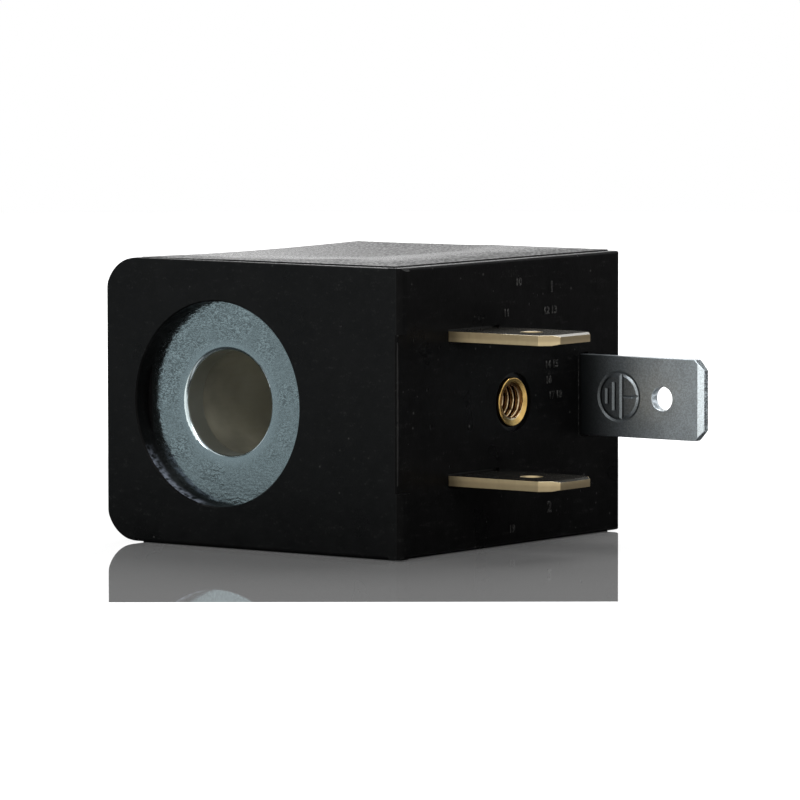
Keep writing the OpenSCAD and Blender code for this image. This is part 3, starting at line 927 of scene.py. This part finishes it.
class COIL_OT_threaded_insert(bpy.types.Operator):
    """Makes the brass insert with its screw thread and knurled bands"""

    bl_idname = "coil.threaded_insert"
    bl_label = "Threaded Insert"

    segments: IntProperty(name="Segments", description="Points round the insert", default=128)
    steps_per_turn: IntProperty(name="Steps", description="Rings in a turn of the thread", default=28)
    ridges: IntProperty(name="Ridges", description="Ridges of the knurling", default=24)

    def execute(self, context):
        sizes = context.scene.coil_sizes
        mesh = mesh_from("insert", lambda shape: self.turn(shape, sizes), math.radians(55))
        brass = brass_finish(context.scene.coil_colours, sizes)
        insert = new_piece("brass_insert", mesh, brass)
        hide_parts("threaded_insert")
        return {"FINISHED"}

    def turn(self, shape, sizes):
        """Rings from the tail along the outside to the mouth and back down the thread."""
        middle = (INSERT_LOW + INSERT_HIGH) / 2
        length = INSERT_HIGH.x - INSERT_LOW.x
        band = (INSERT_HIGH.y - INSERT_LOW.y) / 2
        rings = []
        for depth, radius in self.outline(sizes, length, band):
            rings.append(self.ring(shape, middle, depth, self.knurl(radius, band)))
        for depth, radius in self.thread(sizes):
            rings.append(self.ring(shape, middle, depth, radius))
        ring_strip(shape, rings)
        shape.faces.new(list(reversed(rings[0])))
        drill = self.hole_depth() + sizes.thread_minor / 2
        tip = shape.verts.new((INSERT_HIGH.x - drill, middle.y, middle.z))
        last = rings[-1]
        for i in range(self.segments):
            shape.faces.new((last[i], last[(i + 1) % self.segments], tip))

    def ring(self, shape, middle, depth, radius):
        """A closed ring at a depth below the mouth, with a radius that may change round it."""
        made = []
        for i in range(self.segments):
            turn = 2 * math.pi * i / self.segments
            r = radius(turn)
            place = (INSERT_HIGH.x - depth, middle.y + r * math.cos(turn), middle.z + r * math.sin(turn))
            made.append(shape.verts.new(place))
        return made

    def outline(self, sizes, length, band):
        """Depth and radius along the outside: tail, two gripping bands, groove and mouth collar."""
        rim = sizes.insert_rim
        neck = rim - 0.3 * MM
        step = length / 7
        edge = 0.06 * MM
        lip = sizes.insert_lip
        line = [(length, neck - edge), (length - edge, neck)]
        for low, high in ((5.75 * step, 4 * step), (3.25 * step, 1.5 * step)):
            line += [(low, neck), (low - edge, band), (high + edge, band), (high, neck)]
        line += [(step, neck), (step - edge, rim)]
        for i in range(6):
            turn = math.pi / 2 * i / 5
            line.append((lip * (1 - math.sin(turn)), rim - lip * (1 - math.cos(turn))))
        return line

    def knurl(self, radius, band):
        """The radius round the outside, with straight knurling on the gripping bands."""
        groove = 0.0 if radius < band else 0.1 * MM
        return lambda turn: radius - groove * (0.5 + 0.5 * math.cos(turn * self.ridges))

    def hole_depth(self):
        """Depth of the tapped hole: the drill stops short of the insert's tail."""
        return (INSERT_HIGH.x - INSERT_LOW.x) - MM

    def thread(self, sizes):
        """Rings of the countersunk mouth and of the thread down to the bottom of the hole."""
        pitch = sizes.thread_pitch
        minor = sizes.thread_minor
        deep = sizes.thread_major - minor
        mouth = sizes.insert_mouth
        wide = sizes.insert_rim - sizes.insert_lip - minor
        first = 0.4 * mouth
        yield 0.0, lambda turn: minor + wide
        count = round((self.hole_depth() - mouth) / pitch * self.steps_per_turn)
        for i in range(count + 1):
            depth = first + i * (self.hole_depth() - first) / count
            cone = minor + wide * (1 - depth / mouth)

            def radius(turn, depth=depth, cone=cone):
                wave = 0.5 - 0.5 * math.cos(2 * math.pi * depth / pitch + turn)
                rise = min(1.0, max(0.0, (wave - 0.04) / 0.9))
                return max(minor + deep * rise * rise * (3 - 2 * rise), cone)

            yield depth, radius


class COIL_OT_stage(bpy.types.Operator):
    """Sets the coil on a pale floor under soft studio light, with the camera"""

    bl_idname = "coil.stage"
    bl_label = "Stage"

    def execute(self, context):
        studio = context.scene.coil_studio
        self.floor()
        self.sky(context, studio)
        for name, place, size in LAMPS:
            self.lamp(name, place, size, getattr(studio, name))
        for card in CARDS:
            self.card(*card)
        self.camera(context, studio)
        context.scene.view_settings.view_transform = "Standard"
        return {"FINISHED"}

    def floor(self):
        """A pale floor that mirrors the coil close to its foot."""
        floor = new_object("floor", mesh_from("floor", self.disc))
        floor.location = (0, 0, FLOOR_Z)
        floor.data.materials.append(self.floor_finish())

    def disc(self, shape):
        """A flat round plate, wide enough for the coil's shadow."""
        bmesh.ops.create_circle(shape, cap_ends=True, segments=96, radius=FLOOR_RADIUS)

    def floor_finish(self):
        """White floor with an even sheen that ends at a straight line in front of the coil."""
        material, tree, place = new_finish("floor")
        middle = (HOUSING_LOW + HOUSING_HIGH) / 2 / MM
        half = (HOUSING_HIGH - HOUSING_LOW) / 2 / MM
        shifted = vector_sum(tree, "ADD", place, (-middle.x, -middle.y, 0))
        past = vector_sum(tree, "ADD", vector_sum(tree, "ABSOLUTE", shifted), (-half.x, -half.y, 0))
        distance = measure(tree, "LENGTH", vector_sum(tree, "MAXIMUM", past))
        path = add(tree, "LightPath").outputs
        near = calc(tree, "LESS_THAN", measure(tree, "DOT_PRODUCT", place, SHEEN_SIDE), SHEEN_END)
        near = times(tree, near, ramp(tree, distance, SHEEN_GONE, SHEEN_FULL))
        sheen = most(tree, times(tree, near, SHEEN_SHARE), path["Is Glossy Ray"])
        # Painted shade: in the coil's own reflections the floor's mirror is dimmer close to the coil's
        # foot
        dim = most(tree, path["Is Camera Ray"], ramp(tree, distance, DIM_TO, DIM_FROM, DIM_LEVEL, 1.0))
        mirror = add(tree, "BsdfGlossy", {"Color": dim, "Roughness": 0.02})
        set_surface(material, (0.5, 0.5, 0.5, 1), roughness=1.0, gloss=0.0)
        shader = tree.nodes["Principled BSDF"]
        shader.inputs["Emission Color"].default_value = WHITE
        shader.inputs["Emission Strength"].default_value = 0.4
        mixed = add(tree, "MixShader", {0: sheen, 1: shader.outputs[0], 2: mirror.outputs[0]})
        tree.links.new(mixed.outputs[0], tree.nodes["Material Output"].inputs["Surface"])
        return material

    def sky(self, context, studio):
        """White to the camera and in reflections, softer as a light."""
        world = bpy.data.worlds.new("studio")
        world.use_nodes = True
        context.scene.world = world
        tree = world.node_tree
        path = add(tree, "LightPath").outputs
        seen = most(tree, path["Is Camera Ray"], path["Is Glossy Ray"])
        seen = most(tree, seen, path["Is Transmission Ray"])
        strength = add(tree, "MapRange", {"Value": seen, "To Min": studio.sky, "To Max": 1.0})
        background = tree.nodes["Background"]
        background.inputs["Color"].default_value = WHITE
        feed(tree, background.inputs["Strength"], strength.outputs["Result"])

    def lamp(self, name, place, size, power):
        """A soft box aimed at the coil."""
        light = bpy.data.lights.new(name, "AREA")
        light.shape = "RECTANGLE"
        light.size, light.size_y = size
        light.energy = power
        lamp = new_object(name, light)
        lamp.location = place
        lamp.rotation_euler = (-Vector(place)).to_track_quat("-Z", "Y").to_euler()

    def card(self, name, start, end, height, colour, strip):
        """A curved grey card that only reflections show, from one azimuth to another.

        A card with a low strip is open above it, so that the floor mirrors the white sky through it.
        """
        count = 24
        bands = ((0.0, strip), (CARD_OPEN_TO, height)) if strip else ((0.0, height),)

        def build(shape):
            rows = []
            for i in range(count + 1):
                turn = math.radians(start + (end - start) * i / count)
                x, y = CARD_RADIUS * math.sin(turn), -CARD_RADIUS * math.cos(turn)
                rows.append([shape.verts.new((x, y, FLOOR_Z + z)) for band in bands for z in band])
            for a, b in zip(rows, rows[1:]):
                for low in range(0, len(a), 2):
                    shape.faces.new((a[low], b[low], b[low + 1], a[low + 1]))

        card = new_object(name, mesh_from(name, build))
        material = bpy.data.materials.new(name)
        material.use_nodes = True
        tree = material.node_tree
        level = max(colour)
        glow = add(tree, "Emission", {"Color": shade(colour, 1.0 / level), "Strength": level})
        tree.links.new(glow.outputs[0], tree.nodes["Material Output"].inputs["Surface"])
        card.data.materials.append(material)
        card.visible_camera = False
        card.visible_diffuse = False
        card.visible_shadow = False
        card.visible_transmission = False

    def camera(self, context, studio):
        """The camera of the main view."""
        lens = bpy.data.cameras.new("camera")
        lens.lens = studio.focal_mm
        lens.sensor_width = 36.0
        camera = new_object("camera", lens)
        turn = Matrix.Rotation(studio.azimuth, 3, "Z")
        tilt = Matrix.Rotation(math.pi / 2 - studio.elevation, 3, "X")
        lean = Matrix.Rotation(studio.roll, 3, "Z")
        camera.matrix_world = Matrix.Translation(studio.camera_place) @ (turn @ tilt @ lean).to_4x4()
        lens.clip_start = 0.01
        context.scene.camera = camera


OPERATORS = (
    COIL_OT_housing,
    COIL_OT_mould_marks,
    COIL_OT_yoke,
    COIL_OT_winding,
    COIL_OT_power_terminals,
    COIL_OT_earth_terminal,
    COIL_OT_threaded_insert,
    COIL_OT_stage,
)


class COIL_PT_panel(bpy.types.Panel):
    """Lists the coil's pieces, sizes and colours"""

    bl_label = "Solenoid Valve Coil"
    bl_idname = "COIL_PT_panel"
    bl_space_type = "VIEW_3D"
    bl_region_type = "UI"
    bl_category = "Coil"

    def draw(self, context):
        layout = self.layout
        for operator in OPERATORS:
            layout.operator(operator.bl_idname)
        for group in (context.scene.coil_sizes, context.scene.coil_colours, context.scene.coil_studio):
            box = layout.box()
            for name in group.bl_rna.properties.keys():
                if name not in ("rna_type", "name"):
                    box.prop(group, name)


CLASSES = (CoilColours, CoilSizes, CoilStudio, *OPERATORS, COIL_PT_panel)


def register():
    for item in CLASSES:
        bpy.utils.register_class(item)
    bpy.types.Scene.coil_colours = PointerProperty(type=CoilColours)
    bpy.types.Scene.coil_sizes = PointerProperty(type=CoilSizes)
    bpy.types.Scene.coil_studio = PointerProperty(type=CoilStudio)


def unregister():
    del bpy.types.Scene.coil_studio
    del bpy.types.Scene.coil_sizes
    del bpy.types.Scene.coil_colours
    for item in reversed(CLASSES):
        bpy.utils.unregister_class(item)


def main():
    """Builds every piece in order."""
    register()
    bpy.ops.coil.housing()
    bpy.ops.coil.mould_marks()
    bpy.ops.coil.yoke()
    bpy.ops.coil.winding()
    bpy.ops.coil.power_terminals()
    bpy.ops.coil.earth_terminal()
    bpy.ops.coil.threaded_insert()
    bpy.ops.coil.stage()


if __name__ == "__main__":
    main()
